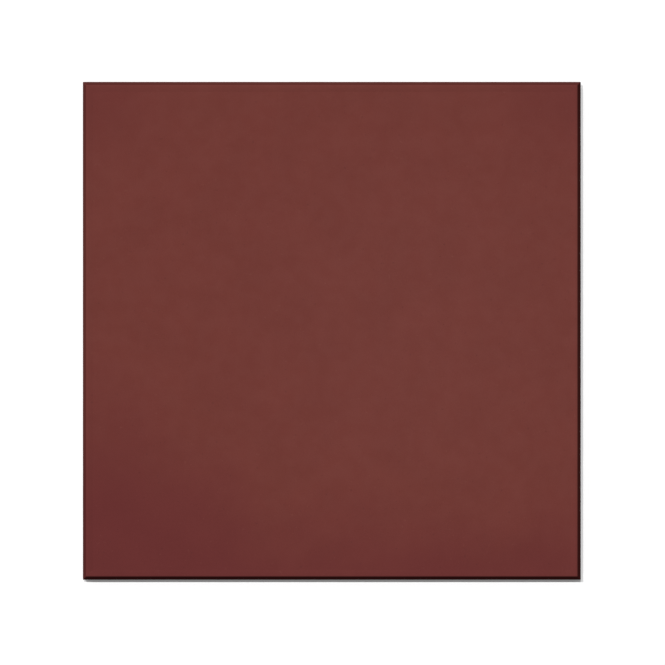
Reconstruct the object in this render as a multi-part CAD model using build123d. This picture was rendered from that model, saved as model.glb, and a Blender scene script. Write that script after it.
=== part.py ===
"""Square floor tile, pressed from clay dust and fired unglazed, lying face up. Millimetres, +Z up.

The origin is the middle of the bedding plane, the flat that the ribs of the back stand on.
The press closes round the tile at a parting line, where the tile is widest. Above that line the
sides lean in to the wearing face, so a narrow bevel shows round the face from above. Below it they
lean in a little to the back, which is keyed with a grid of shallow pockets between ribs.
"""

import os
from math import radians, tan

from build123d import *

# Tile as a whole
SIDE = 150.0  # across the parting line, the tile's widest
THICKNESS = 9.0  # bedding plane to wearing face

# Edge, from the face down
BEVEL_WIDTH = 1.2  # the face is this much smaller than the parting line, on each side
ARRIS_RADIUS = 0.4  # rounding where the face meets the bevel
FACE_CORNER_RADIUS = 0.2  # plan radius left at the corners of the flat face, inside the arris
PARTING_HEIGHT = 3.8  # parting line above the bedding plane
PARTING_CORNER_RADIUS = 0.2  # plan radius of the outline's corners
LOWER_DRAFT = 2.0  # lean of the sides below the parting line, degrees from upright
BACK_CHAMFER = 0.8  # 45 degree chamfer round the back

# Keyed back
KEY_COUNT = 8  # pockets in a row, and rows
KEY_DEPTH = 0.8  # pockets' depth, which is the ribs' height
KEY_RIB = 3.0  # rib width on the bedding plane
KEY_BORDER = 9.5  # width of the plain border round the pockets, on the bedding plane
KEY_DRAFT = 35.0  # lean of the pockets' walls, degrees from upright
KEY_CORNER_RADIUS = 1.2  # plan radius of the pockets' floors


def lean(height, draft):
    """How far a wall of this height moves sideways at this draft angle."""
    return height * tan(radians(draft))


LOWER_INSET = lean(PARTING_HEIGHT - BACK_CHAMFER, LOWER_DRAFT)
BACK_SIDE = SIDE - 2 * (LOWER_INSET + BACK_CHAMFER)


def rounded_square(side, corner_radius, height):
    """A level square with rounded corners, centred over the origin."""
    return Plane.XY.offset(height) * RectangleRounded(side, side, corner_radius)


def pressed_body():
    """The tile with a plain back: ruled from the back's outline, by the parting line, to the face."""
    face_edge_radius = FACE_CORNER_RADIUS + ARRIS_RADIUS
    outlines = [
        rounded_square(BACK_SIDE, PARTING_CORNER_RADIUS, 0),
        rounded_square(SIDE - 2 * LOWER_INSET, PARTING_CORNER_RADIUS, BACK_CHAMFER),
        rounded_square(SIDE, PARTING_CORNER_RADIUS, PARTING_HEIGHT),
        rounded_square(SIDE - 2 * BEVEL_WIDTH, face_edge_radius, THICKNESS),
    ]
    body = loft(outlines, ruled=True)
    wearing_face = body.faces().sort_by(Axis.Z)[-1]
    return fillet(wearing_face.edges(), ARRIS_RADIUS)


def key_pockets():
    """The grid of pockets that fills the back inside its border, with a rib between neighbours."""
    pitch = (BACK_SIDE - 2 * KEY_BORDER + KEY_RIB) / KEY_COUNT
    mouth = pitch - KEY_RIB
    wall_lean = lean(KEY_DEPTH, KEY_DRAFT)
    pocket = loft(
        [
            rounded_square(mouth, KEY_CORNER_RADIUS + wall_lean, 0),
            rounded_square(mouth - 2 * wall_lean, KEY_CORNER_RADIUS, KEY_DEPTH),
        ],
        ruled=True,
    )
    return GridLocations(pitch, pitch, KEY_COUNT, KEY_COUNT) * pocket


floor_tile = pressed_body() - key_pockets()

os.makedirs("parts", exist_ok=True)
export_step(floor_tile, "parts/floor_tile.step")
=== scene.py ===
"""Square unglazed floor tile, lying face up on a pale floor and seen from straight above.

Metres, +Z up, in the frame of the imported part. The tile is one pressed and fired body, so one piece
stands for it: its face, bevel, parting line, chamfer and keyed back, with the softened edges and the
slight unevenness that pressing and firing leave.
"""

from math import radians, tan

import bpy
import numpy as np
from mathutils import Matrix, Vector, noise


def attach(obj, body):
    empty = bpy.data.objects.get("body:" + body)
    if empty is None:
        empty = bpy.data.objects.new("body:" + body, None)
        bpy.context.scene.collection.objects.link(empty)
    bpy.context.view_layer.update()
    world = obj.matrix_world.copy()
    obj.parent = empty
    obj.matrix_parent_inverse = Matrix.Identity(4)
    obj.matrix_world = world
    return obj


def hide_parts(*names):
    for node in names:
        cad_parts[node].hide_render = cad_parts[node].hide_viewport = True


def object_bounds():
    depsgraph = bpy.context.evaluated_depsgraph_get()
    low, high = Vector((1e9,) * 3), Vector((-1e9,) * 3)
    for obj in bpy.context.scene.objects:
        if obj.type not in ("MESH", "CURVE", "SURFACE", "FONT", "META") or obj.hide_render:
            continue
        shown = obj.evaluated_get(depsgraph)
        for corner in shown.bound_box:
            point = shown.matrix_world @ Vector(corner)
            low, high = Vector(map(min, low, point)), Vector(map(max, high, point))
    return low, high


MM = 0.001

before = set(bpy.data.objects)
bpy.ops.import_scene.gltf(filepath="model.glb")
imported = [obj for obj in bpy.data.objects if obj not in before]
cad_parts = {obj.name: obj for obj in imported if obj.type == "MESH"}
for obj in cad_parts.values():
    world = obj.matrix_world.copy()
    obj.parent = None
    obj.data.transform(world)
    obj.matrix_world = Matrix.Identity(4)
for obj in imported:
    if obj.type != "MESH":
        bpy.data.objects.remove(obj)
CAD_LOW, CAD_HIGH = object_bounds()

# Tile, from the face down
HALF_SIDE = CAD_HIGH.x  # to the parting line, where the tile is widest
TOP = CAD_HIGH.z
BEVEL_WIDTH = 1.2 * MM
ARRIS_RADIUS = 0.4 * MM
PARTING_HEIGHT = 3.8 * MM
CORNER_RADIUS = 0.2 * MM  # in plan
LOWER_DRAFT = radians(2)
BACK_CHAMFER = 0.8 * MM

# Fin that the press leaves along the parting line, and the rounding of the lower edges
FIN_PROUD = 0.07 * MM
FIN_HALF_HEIGHT = 0.16 * MM
FIN_RADIUS = 0.05 * MM
BACK_EDGE_RADIUS = 0.3 * MM

# Keyed back
KEY_COUNT = 8
KEY_DEPTH = 0.8 * MM
KEY_RIB = 3.0 * MM
KEY_BORDER = 9.5 * MM
KEY_DRAFT = radians(35)
KEY_CORNER_RADIUS = 1.2 * MM  # of a pocket's floor, in plan
KEY_WALL = KEY_DEPTH * tan(KEY_DRAFT)  # width of a pocket's leaning wall, in plan
KEY_MOUTH_RADIUS = KEY_CORNER_RADIUS + KEY_WALL

# Unevenness of the pressed and fired body
FACE_DIP = 0.05 * MM  # the face's hollows lie this far below its crests
FACE_WAVE = 45 * MM
FACE_SEED = 3
EDGE_WANDER = 0.03 * MM  # how far an edge strays from its line
EDGE_WAVE = 12 * MM
EDGE_SEED = 7
SEED_STEP = (1.0, 2.7, 5.1)  # from one seed's stretch of noise to the next

# Mesh
FLAT_BAND = 2.0 * MM  # flat strip between the grids of face and back and their edges
ARC_POINTS = 5
EDGE_HOLD = 0.15 * MM  # a straight's shading is flat from this far past the roundings at its ends
WALL_TICKS = [-0.25 * MM, 0.06 * MM, 0.24 * MM, 0.42 * MM, 0.7 * MM, 1.5 * MM]  # into a pocket
CORNER_TICKS = [0.0, 0.05 * MM, 0.12 * MM, 0.25 * MM, 0.6 * MM]  # from the end of a side
ISLAND_GAP = 0.006  # between the islands of the texture, as a share of its width
FACE_ISLAND = 0.66  # share of the texture's width


def unit(vector):
    return vector / np.linalg.norm(vector)


def softened(corners):
    """A profile through these (inset, height, radius) corners, each rounded to about its radius."""
    corners = np.array(corners)
    steps = np.linspace(0, 1, ARC_POINTS)[:, None]
    arcs = [corners[:1, :2]]
    for before, here, after in zip(corners, corners[1:], corners[2:]):
        corner, radius = here[:2], here[2]
        leg_in, leg_out = unit(before[:2] - corner), unit(after[:2] - corner)
        half_angle = np.arccos(leg_in @ leg_out) / 2
        reach = radius / np.tan(half_angle)
        start, end = corner + leg_in * reach, corner + leg_out * reach
        arcs.append((1 - steps) ** 2 * start + 2 * steps * (1 - steps) * corner + steps**2 * end)
    arcs.append(corners[-1:, :2])
    rows = arcs[:1]
    for arc, next_arc in zip(arcs, arcs[1:]):
        rows += [held(arc, next_arc), next_arc]
    return np.concatenate(rows)


def held(arc, next_arc):
    """Points near both ends of the straight between two arcs, which keep its shading flat."""
    leg = next_arc[0] - arc[-1]
    if np.linalg.norm(leg) < 3 * EDGE_HOLD:
        return np.empty((0, 2))
    return np.array([arc[-1] + unit(leg) * EDGE_HOLD, next_arc[0] - unit(leg) * EDGE_HOLD])


def edge_profile():
    """The tile's edge from the flat of the face to the flat of the back, as insets and heights."""
    lower_top = PARTING_HEIGHT - FIN_HALF_HEIGHT
    lower_inset = FIN_PROUD + (lower_top - BACK_CHAMFER) * tan(LOWER_DRAFT)
    back_inset = lower_inset + BACK_CHAMFER
    return softened([
        (BEVEL_WIDTH + FLAT_BAND, TOP, 0),
        (BEVEL_WIDTH, TOP, ARRIS_RADIUS),
        (FIN_PROUD, PARTING_HEIGHT + FIN_HALF_HEIGHT, FIN_RADIUS),
        (0, PARTING_HEIGHT, FIN_RADIUS),
        (FIN_PROUD, lower_top, FIN_RADIUS),
        (lower_inset, BACK_CHAMFER, BACK_EDGE_RADIUS),
        (back_inset, 0, BACK_EDGE_RADIUS),
        (back_inset + FLAT_BAND, 0, 0),
    ])


def key_pitch(back_half):
    return (2 * (back_half - KEY_BORDER) + KEY_RIB) / KEY_COUNT


def side_ticks(half, pitch):
    """Places along a side, close together at the walls of the back's pockets and at the corners."""
    mouth = pitch - KEY_RIB
    places = [0.0]
    for column in range(KEY_COUNT // 2):
        low = column * pitch + KEY_RIB / 2
        places += [low + tick for tick in WALL_TICKS]
        places += [low + mouth - tick for tick in WALL_TICKS]
        places += [low + mouth / 2, low + mouth + KEY_RIB / 2]
    places += [half - tick for tick in CORNER_TICKS]
    places.append((places[-1] + low + mouth) / 2)
    right = np.unique(np.round(places, 9))
    return np.concatenate([-right[:0:-1], right])


def pocket_depth(across, along, pitch):
    """How deep the back is at these places: its pockets are rounded squares with leaning walls."""
    reach = KEY_COUNT * pitch / 2
    within = (np.abs(across) < reach) & (np.abs(along) < reach)
    corner = (pitch - KEY_RIB) / 2 - KEY_MOUTH_RADIUS
    from_core = [np.abs((place + reach) % pitch - pitch / 2) - corner for place in (across, along)]
    outside = np.hypot(*np.maximum(from_core, 0)) + np.minimum(np.maximum(*from_core), 0)
    sunk = np.clip((KEY_MOUTH_RADIUS - outside) / KEY_WALL, 0, 1)
    return KEY_DEPTH * within * sunk * sunk * (3 - 2 * sunk)


def wander(points, wave, seed):
    """Smooth noise from 0 to 1 at each point, with bumps about this far apart."""
    shift = Vector([seed * step for step in SEED_STEP])
    return np.array([0.5 + 0.5 * noise.noise(Vector(p) / wave + shift) for p in points])


def rim_order(count):
    """A square grid's outermost points, anticlockwise from its low corner."""
    grid = np.arange(count * count).reshape(count, count)
    return np.concatenate([grid[0, :-1], grid[:-1, -1], grid[-1, :0:-1], grid[:0:-1, 0]])


def grid_quads(count):
    grid = np.arange(count * count).reshape(count, count)
    return np.stack([grid[:-1, :-1], grid[:-1, 1:], grid[1:, 1:], grid[1:, :-1]], -1).reshape(-1, 4)


def rim_ring(shares, inset, height):
    """The tile's outline at this inset, with corners rounded in plan and a slightly straying line."""
    half = HALF_SIDE - inset
    square = shares * half
    core = np.clip(square, CORNER_RADIUS - half, half - CORNER_RADIUS)
    away = square - core
    ring = core + away / np.linalg.norm(away, axis=1, keepdims=True) * CORNER_RADIUS
    points = np.column_stack([ring, np.full(len(ring), height)])
    stray = EDGE_WANDER * wander(points, EDGE_WAVE, EDGE_SEED)
    points[:, :2] *= 1 - (stray / HALF_SIDE)[:, None]
    return points


def tile_mesh():
    """Points, faces and texture places of the whole tile, as one closed mesh of quads."""
    profile = edge_profile()
    face_half = HALF_SIDE - profile[0, 0]
    back_half = HALF_SIDE - profile[-1, 0]
    pitch = key_pitch(back_half + FLAT_BAND)
    ticks = side_ticks(back_half, pitch)
    count = len(ticks)
    along, across = (part.ravel() for part in np.meshgrid(ticks, ticks, indexing="ij"))
    shares = np.column_stack([across, along]) / back_half

    face = np.column_stack([shares * face_half, np.full(count * count, TOP)])
    face[:, 2] -= FACE_DIP * wander(face, FACE_WAVE, FACE_SEED)
    back = np.column_stack([across, along, pocket_depth(across, along, pitch)])
    rim = rim_order(count)
    rings = [rim_ring(shares[rim], inset, height) for inset, height in profile[1:-1]]
    points = np.concatenate([face, *rings, back])

    first_ring, first_back = len(face), len(points) - len(back)
    starts = first_ring + len(rim) * np.arange(len(rings))
    loops = [rim, *(start + np.arange(len(rim)) for start in starts), first_back + rim]
    bands = [np.stack([high, low, np.roll(low, -1), np.roll(high, -1)], -1)
             for high, low in zip(loops, loops[1:])]
    quads = grid_quads(count)
    faces = np.concatenate([quads, *bands, first_back + quads[:, ::-1]])
    return points, faces, texture_places(points, quads, bands, first_back, profile)


def texture_places(points, quads, bands, first_back, profile):
    """Texture places: the face largest, the back beside it and the four sides as strips above."""
    scale = FACE_ISLAND / (2 * HALF_SIDE)
    back_scale = (1 - FACE_ISLAND - 3 * ISLAND_GAP) / (2 * HALF_SIDE)
    plan = points[:, :2] + HALF_SIDE
    on_face = ISLAND_GAP + plan * scale
    on_back = plan * back_scale + [2 * ISLAND_GAP + FACE_ISLAND, ISLAND_GAP]
    run = np.concatenate([[0], np.cumsum(np.linalg.norm(np.diff(profile, axis=0), axis=1))])
    strip_height = run[-1] * scale + ISLAND_GAP
    strips_low = FACE_ISLAND + 2 * ISLAND_GAP

    places = [on_face[quads], on_face[bands[0]]]
    for level, band in enumerate(bands[1:-1], start=1):
        side = np.arange(len(band)) * 4 // len(band)
        places.append(strip_places(points, band, side, scale, run[level : level + 2]))
        places[-1][..., 1] += (strips_low + side * strip_height)[:, None]
    places += [on_back[bands[-1]], on_back[first_back + quads[:, ::-1]]]
    return np.concatenate([place.reshape(-1, 2) for place in places])


def strip_places(points, band, side, scale, run):
    """Texture places of one band of the edge, unrolled along each of the four sides."""
    axis = np.array([[1, 0], [0, 1], [-1, 0], [0, -1]])[side]
    along = (points[band][..., :2] * axis[:, None, :]).sum(-1) + HALF_SIDE
    down = np.array([run[0], run[1], run[1], run[0]])
    return np.stack([ISLAND_GAP + along * scale, np.broadcast_to(down * scale, along.shape)], -1)


def pressed_tile():
    """The tile's own piece, which stands for the plain solid."""
    points, faces, places = tile_mesh()
    mesh = bpy.data.meshes.new("pressed_tile")
    mesh.from_pydata(points.tolist(), [], faces.tolist())
    mesh.uv_layers.new(name="OFBake").uv.foreach_set("vector", places.astype(np.float32).ravel())
    mesh.shade_smooth()
    mesh.validate()
    tile = bpy.data.objects.new("pressed_tile", mesh)
    bpy.context.scene.collection.objects.link(tile)
    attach(tile, "root")
    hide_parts("floor_tile")
    return tile


# Fired clay, as linear colours
CLAY = (0.1595, 0.0416, 0.0342, 1)  # the body's own colour
PALE = (0.1720, 0.0500, 0.0420, 1)  # where the clay is lighter: a wide patch right of the middle, and faint mottling
DARKENED_TONE = (0.1370, 0.0315, 0.0302, 1)  # where the clay is darker: along the near side, up the left and in the corners
SPECK_DARK = (0.055, 0.020, 0.020, 1)
SPECK_PALE = (0.270, 0.110, 0.085, 1)
DUST = (0.300, 0.160, 0.130, 1)  # kiln dust on the back
ROUGHNESS = 0.85

# Darker tone along the near side, up the left and in the corners, and a lighter patch right of the
# middle. A run is where a change starts and where it ends.
DARKENING_RUN = (42 * MM, 90 * MM)  # from the middle towards the near side
DARKENING_CLIMB = 0.52  # how steeply the darkening climbs the left
DARKENING_STRAY = 8 * MM  # how far its border strays
DARKENING_WAVE = 28 * MM
CORNER_RUN = (38 * MM, 78 * MM)  # from the middle, both ways
CORNER_DARKENING = 0.55
PATCH_MIDDLE = (28 * MM, 6 * MM, TOP)
PATCH_RUN = (15 * MM, 75 * MM)  # from the patch's middle
PATCH_SHARE = 0.3
MOTTLE_SIZE = 4.5 * MM
MOTTLE_SHARE = 0.36

# Grain and specks. A swing is how far grain lightens and darkens the clay.
CLOUD_SIZE = 12 * MM
CLOUD_SWING = 0.025
COARSE_SIZE = 0.55 * MM
COARSE_SWING = 0.02
FINE_SIZE = 0.14 * MM
FINE_SWING = 0.07
DARK_SPECK = {"size": 1.1 * MM, "rarity": 0.70, "share": 0.18}  # starts where noise passes its rarity
PALE_SPECK = {"size": 0.9 * MM, "rarity": 0.72, "share": 0.10}
SPECK_EDGE = 0.08  # how much more noise takes a speck from its rim to its full share
SPECK_SHIFT = (0.31, 0.17, 0.05)  # keeps the pale specks from following the dark ones

# Kiln dust on the back, and relief of the surface
UNDER_RUN = (-0.3, -0.95)  # by how far a surface faces up
DUST_SIZE = 1.3 * MM
DUST_STRETCH = (1, 0.3, 1)  # rubbed along Y
DUST_SHARE = 0.5
DUST_LEAST = 0.2  # of that share, where it is thinnest
DUST_IN_POCKETS = 0.25
DUST_FULL_UP_TO = 0.1 * MM  # above the bedding plane
UPRIGHT_RUN = (0.9, 0.4)  # by how far a surface faces up or down
DRAG_SIZE = 0.4 * MM
DRAG_STRETCH = (1, 1, 0.12)  # drawn out upright
DRAG_RELIEF = 0.03 * MM
COARSE_RELIEF = 0.015 * MM
FINE_RELIEF = 0.006 * MM


def add(tree, kind, inputs=None, **settings):
    """A new shader node. Each input is a number, a colour or another node's output."""
    made = tree.nodes.new("ShaderNode" + kind)
    for name, value in settings.items():
        setattr(made, name, value)
    for name, value in (inputs or {}).items():
        if isinstance(value, bpy.types.NodeSocket):
            tree.links.new(value, made.inputs[name])
        else:
            made.inputs[name].default_value = value
    return made


def calc(tree, operation, *values):
    return add(tree, "Math", dict(enumerate(values)), operation=operation).outputs[0]


def ramp(tree, value, low, high, to_low=0.0, to_high=1.0):
    """Moves smoothly from to_low to to_high as value goes from low to high."""
    span = {"Value": value, "From Min": low, "From Max": high, "To Min": to_low, "To Max": to_high}
    return add(tree, "MapRange", span, interpolation_type="SMOOTHSTEP").outputs["Result"]


def grain(tree, place, size, detail=2.0):
    """Noise with features of about this size, from 0 to 1."""
    inputs = {"Vector": place, "Scale": 1 / size, "Detail": detail}
    return add(tree, "TexNoise", inputs).outputs["Fac"]


def spread(tree, noise_value, to_low, to_high, reach=0.3):
    """Takes noise, which mostly keeps within this reach of a half, to a range from to_low to to_high."""
    return ramp(tree, noise_value, 0.5 - reach, 0.5 + reach, to_low, to_high)


def specks(tree, place, size, rarity, share):
    """How far scattered specks cover the clay."""
    return ramp(tree, grain(tree, place, size, detail=1.0), rarity, rarity + SPECK_EDGE, 0.0, share)


def stretched(tree, place, stretch):
    return add(tree, "Mapping", {"Vector": place, "Scale": stretch}).outputs[0]


def blend(tree, share, under, over):
    """One colour over another, by share."""
    mixed = add(tree, "Mix", {0: share, 6: under, 7: over}, data_type="RGBA")
    return mixed.outputs[2]


def scaled(tree, colour, factor):
    """A colour times a factor."""
    return add(tree, "VectorMath", {0: colour, "Scale": factor}, operation="SCALE").outputs[0]


def darkening(tree, place, axis):
    """How far the clay is darkened: along the near side, up the left and in the corners."""
    stray = spread(tree, grain(tree, place, DARKENING_WAVE), -DARKENING_STRAY, DARKENING_STRAY)
    leftward = calc(tree, "MAXIMUM", calc(tree, "MULTIPLY", axis["X"], -DARKENING_CLIMB), 0.0)
    nearness = calc(tree, "ADD", calc(tree, "SUBTRACT", leftward, axis["Y"]), stray)
    band = ramp(tree, nearness, *DARKENING_RUN)
    to_corner = [ramp(tree, calc(tree, "ABSOLUTE", axis[name]), *CORNER_RUN) for name in "XY"]
    corner = calc(tree, "MULTIPLY", *to_corner)
    return calc(tree, "MAXIMUM", band, calc(tree, "MULTIPLY", corner, CORNER_DARKENING))


def lighter_patch_and_mottling(tree, place):
    """How far the clay is lighter: a wide patch right of the middle, and a faint mottling."""
    from_patch = add(tree, "VectorMath", {0: place, 1: PATCH_MIDDLE}, operation="DISTANCE")
    patch = ramp(tree, from_patch.outputs["Value"], *PATCH_RUN, PATCH_SHARE, 0.0)
    mottling = spread(tree, grain(tree, place, MOTTLE_SIZE), 0.0, MOTTLE_SHARE, reach=0.2)
    return calc(tree, "ADD", patch, mottling)


def dusting(tree, place, axis, facing):
    """How much dust lies: rubbed on to the ribs and border of the back, and thinner in its pockets."""
    under = ramp(tree, facing["Z"], *UNDER_RUN, 0.0, DUST_SHARE)
    rubbed = grain(tree, stretched(tree, place, DUST_STRETCH), DUST_SIZE, detail=6.0)
    uneven = spread(tree, rubbed, DUST_LEAST, 1.0, reach=0.18)
    thinning = ramp(tree, axis["Z"], DUST_FULL_UP_TO, KEY_DEPTH, 1.0, DUST_IN_POCKETS)
    return calc(tree, "MULTIPLY", under, calc(tree, "MULTIPLY", uneven, thinning))


def skin(tree, place, facing, coarse, fine):
    """The surface's relief: a fine granular skin, with upright drag marks on the sides."""
    upright = ramp(tree, calc(tree, "ABSOLUTE", facing["Z"]), *UPRIGHT_RUN)
    streaks = grain(tree, stretched(tree, place, DRAG_STRETCH), DRAG_SIZE, detail=3.0)
    drag = calc(tree, "MULTIPLY", streaks, upright)
    relief = add(tree, "Bump", {"Height": coarse, "Distance": COARSE_RELIEF}).outputs[0]
    for height, depth in ((fine, FINE_RELIEF), (drag, DRAG_RELIEF)):
        relief = add(tree, "Bump", {"Height": height, "Distance": depth, "Normal": relief}).outputs[0]
    return relief


def fired_clay():
    """Dense unglazed clay: even and matte, darker along one side and in the corners, with a fine grain.
    """
    material = bpy.data.materials.new("fired_clay")
    material.use_nodes = True
    tree = material.node_tree
    tree.nodes.clear()
    place = add(tree, "TexCoord").outputs["Object"]
    axis = add(tree, "SeparateXYZ", {"Vector": place}).outputs
    facing = add(tree, "SeparateXYZ", {"Vector": add(tree, "NewGeometry").outputs["Normal"]}).outputs
    cloud = grain(tree, place, CLOUD_SIZE, detail=3.0)
    coarse = grain(tree, place, COARSE_SIZE, detail=3.0)
    fine = grain(tree, place, FINE_SIZE)

    colour = blend(tree, lighter_patch_and_mottling(tree, place), CLAY, PALE)
    colour = blend(tree, darkening(tree, place, axis), colour, DARKENED_TONE)
    colour = scaled(tree, colour, spread(tree, cloud, 1 - CLOUD_SWING, 1 + CLOUD_SWING, reach=0.25))
    colour = scaled(tree, colour, spread(tree, coarse, 1 - COARSE_SWING, 1 + COARSE_SWING))
    colour = scaled(tree, colour, spread(tree, fine, 1 - FINE_SWING, 1 + FINE_SWING))
    colour = blend(tree, specks(tree, place, **DARK_SPECK), colour, SPECK_DARK)
    shifted = add(tree, "VectorMath", {0: place, 1: SPECK_SHIFT}).outputs[0]
    colour = blend(tree, specks(tree, shifted, **PALE_SPECK), colour, SPECK_PALE)
    colour = blend(tree, dusting(tree, place, axis, facing), colour, DUST)

    relief = skin(tree, place, facing, coarse, fine)
    surface = {"Base Color": colour, "Roughness": ROUGHNESS, "Normal": relief, "Specular IOR Level": 0.0}
    shader = add(tree, "BsdfPrincipled", surface)
    add(tree, "OutputMaterial", {"Surface": shader.outputs[0]})
    return material


# Stage
WHITE = (1, 1, 1, 1)
FLOOR_HALF = 30.0
FLOOR_DROP = 0.02 * MM  # clear of the tile's back
FLOOR_COLOUR = 0.96  # how much of the lamps' light the floor shows, so how dark its shadow looks
FLOOR_GLOW = 0.14  # what keeps the lit floor white
FLOOR_BOUNCE = 0.08  # how much of the lamps' light the floor throws back on the tile
FILL_LIGHT = 0.15  # what a white level surface shows under the fill alone
LAMPS = [  # name, the way to it, what a white level surface shows under it, how wide it looks
    ("lamp_upper_left", (-0.231, 0.232, 1.0), 0.385, radians(0.6)),
    ("lamp_top", (-0.04, 0.232, 1.0), 0.405, radians(0.6)),
    ("lamp_low_left", (-1.0, 1.0, 0.25), 0.06, radians(12)),
]


def seen_by_eye(tree):
    """1 for what the camera sees, straight or in a shiny or clear surface, and 0 for stray light."""
    path = add(tree, "LightPath").outputs
    seen = calc(tree, "MAXIMUM", path["Is Camera Ray"], path["Is Glossy Ray"])
    return calc(tree, "MAXIMUM", seen, path["Is Transmission Ray"])


def matt(tree, level):
    """A plain grey surface that throws back this share of the light."""
    return add(tree, "BsdfDiffuse", {"Color": (level, level, level, 1)}).outputs[0]


def pale_floor():
    """A floor that looks white to the eye and keeps the tile's shadow, but throws little light back."""
    mesh = bpy.data.meshes.new("floor")
    corners = [(-1, -1), (1, -1), (1, 1), (-1, 1)]
    places = [(x * FLOOR_HALF, y * FLOOR_HALF, -FLOOR_DROP) for x, y in corners]
    mesh.from_pydata(places, [], [(0, 1, 2, 3)])
    floor = bpy.data.objects.new("floor", mesh)
    bpy.context.scene.collection.objects.link(floor)
    material = bpy.data.materials.new("floor")
    material.use_nodes = True
    tree = material.node_tree
    tree.nodes.clear()
    glow = add(tree, "Emission", {"Color": WHITE, "Strength": FLOOR_GLOW}).outputs[0]
    shown = add(tree, "AddShader", {0: glow, 1: matt(tree, FLOOR_COLOUR)}).outputs[0]
    surface = add(tree, "MixShader", {0: seen_by_eye(tree), 1: matt(tree, FLOOR_BOUNCE), 2: shown})
    add(tree, "OutputMaterial", {"Surface": surface.outputs[0]})
    mesh.materials.append(material)


def studio_light():
    """Two lamps nearly overhead, a low one beside the tile, an even fill and a white surround."""
    for name, to_lamp, light, angle in LAMPS:
        direction = Vector(to_lamp).normalized()
        sun = bpy.data.lights.new(name, "SUN")
        sun.energy = light * np.pi / direction.z
        sun.angle = angle
        lamp = bpy.data.objects.new(name, sun)
        lamp.rotation_euler = direction.to_track_quat("Z", "Y").to_euler()
        bpy.context.scene.collection.objects.link(lamp)
    world = bpy.data.worlds.new("surround")
    world.use_nodes = True
    tree = world.node_tree
    tree.nodes.clear()
    strength = ramp(tree, seen_by_eye(tree), 0, 1, FILL_LIGHT, 1)
    white = add(tree, "Background", {"Color": WHITE, "Strength": strength})
    add(tree, "OutputWorld", {"Surface": white.outputs[0]})
    bpy.context.scene.world = world


# Camera, straight above. The tile's middle lies a little up and left of the picture's.
PICTURE_WIDTH = 665  # pixels
TILE_WIDTH = 498.0  # pixels
TILE_OFF_CENTRE = (-0.69, 1.68)  # pixels to the right and up
LENS = 300.0
SENSOR = 36.0


def overhead_camera():
    """A long lens that looks straight down and sees the parting line at the photo's size."""
    camera = bpy.data.cameras.new("camera")
    camera.lens = LENS
    camera.sensor_width = SENSOR
    pixel = 2 * HALF_SIDE / TILE_WIDTH
    distance = PICTURE_WIDTH * pixel * LENS / SENSOR
    eye = bpy.data.objects.new("camera", camera)
    right, up = (-pixel * off for off in TILE_OFF_CENTRE)
    eye.location = (right, up, PARTING_HEIGHT + distance)
    bpy.context.scene.collection.objects.link(eye)
    bpy.context.scene.camera = eye


tile = pressed_tile()
tile.data.materials.append(fired_clay())
pale_floor()
studio_light()
overhead_camera()
bpy.context.scene.view_settings.view_transform = "Standard"
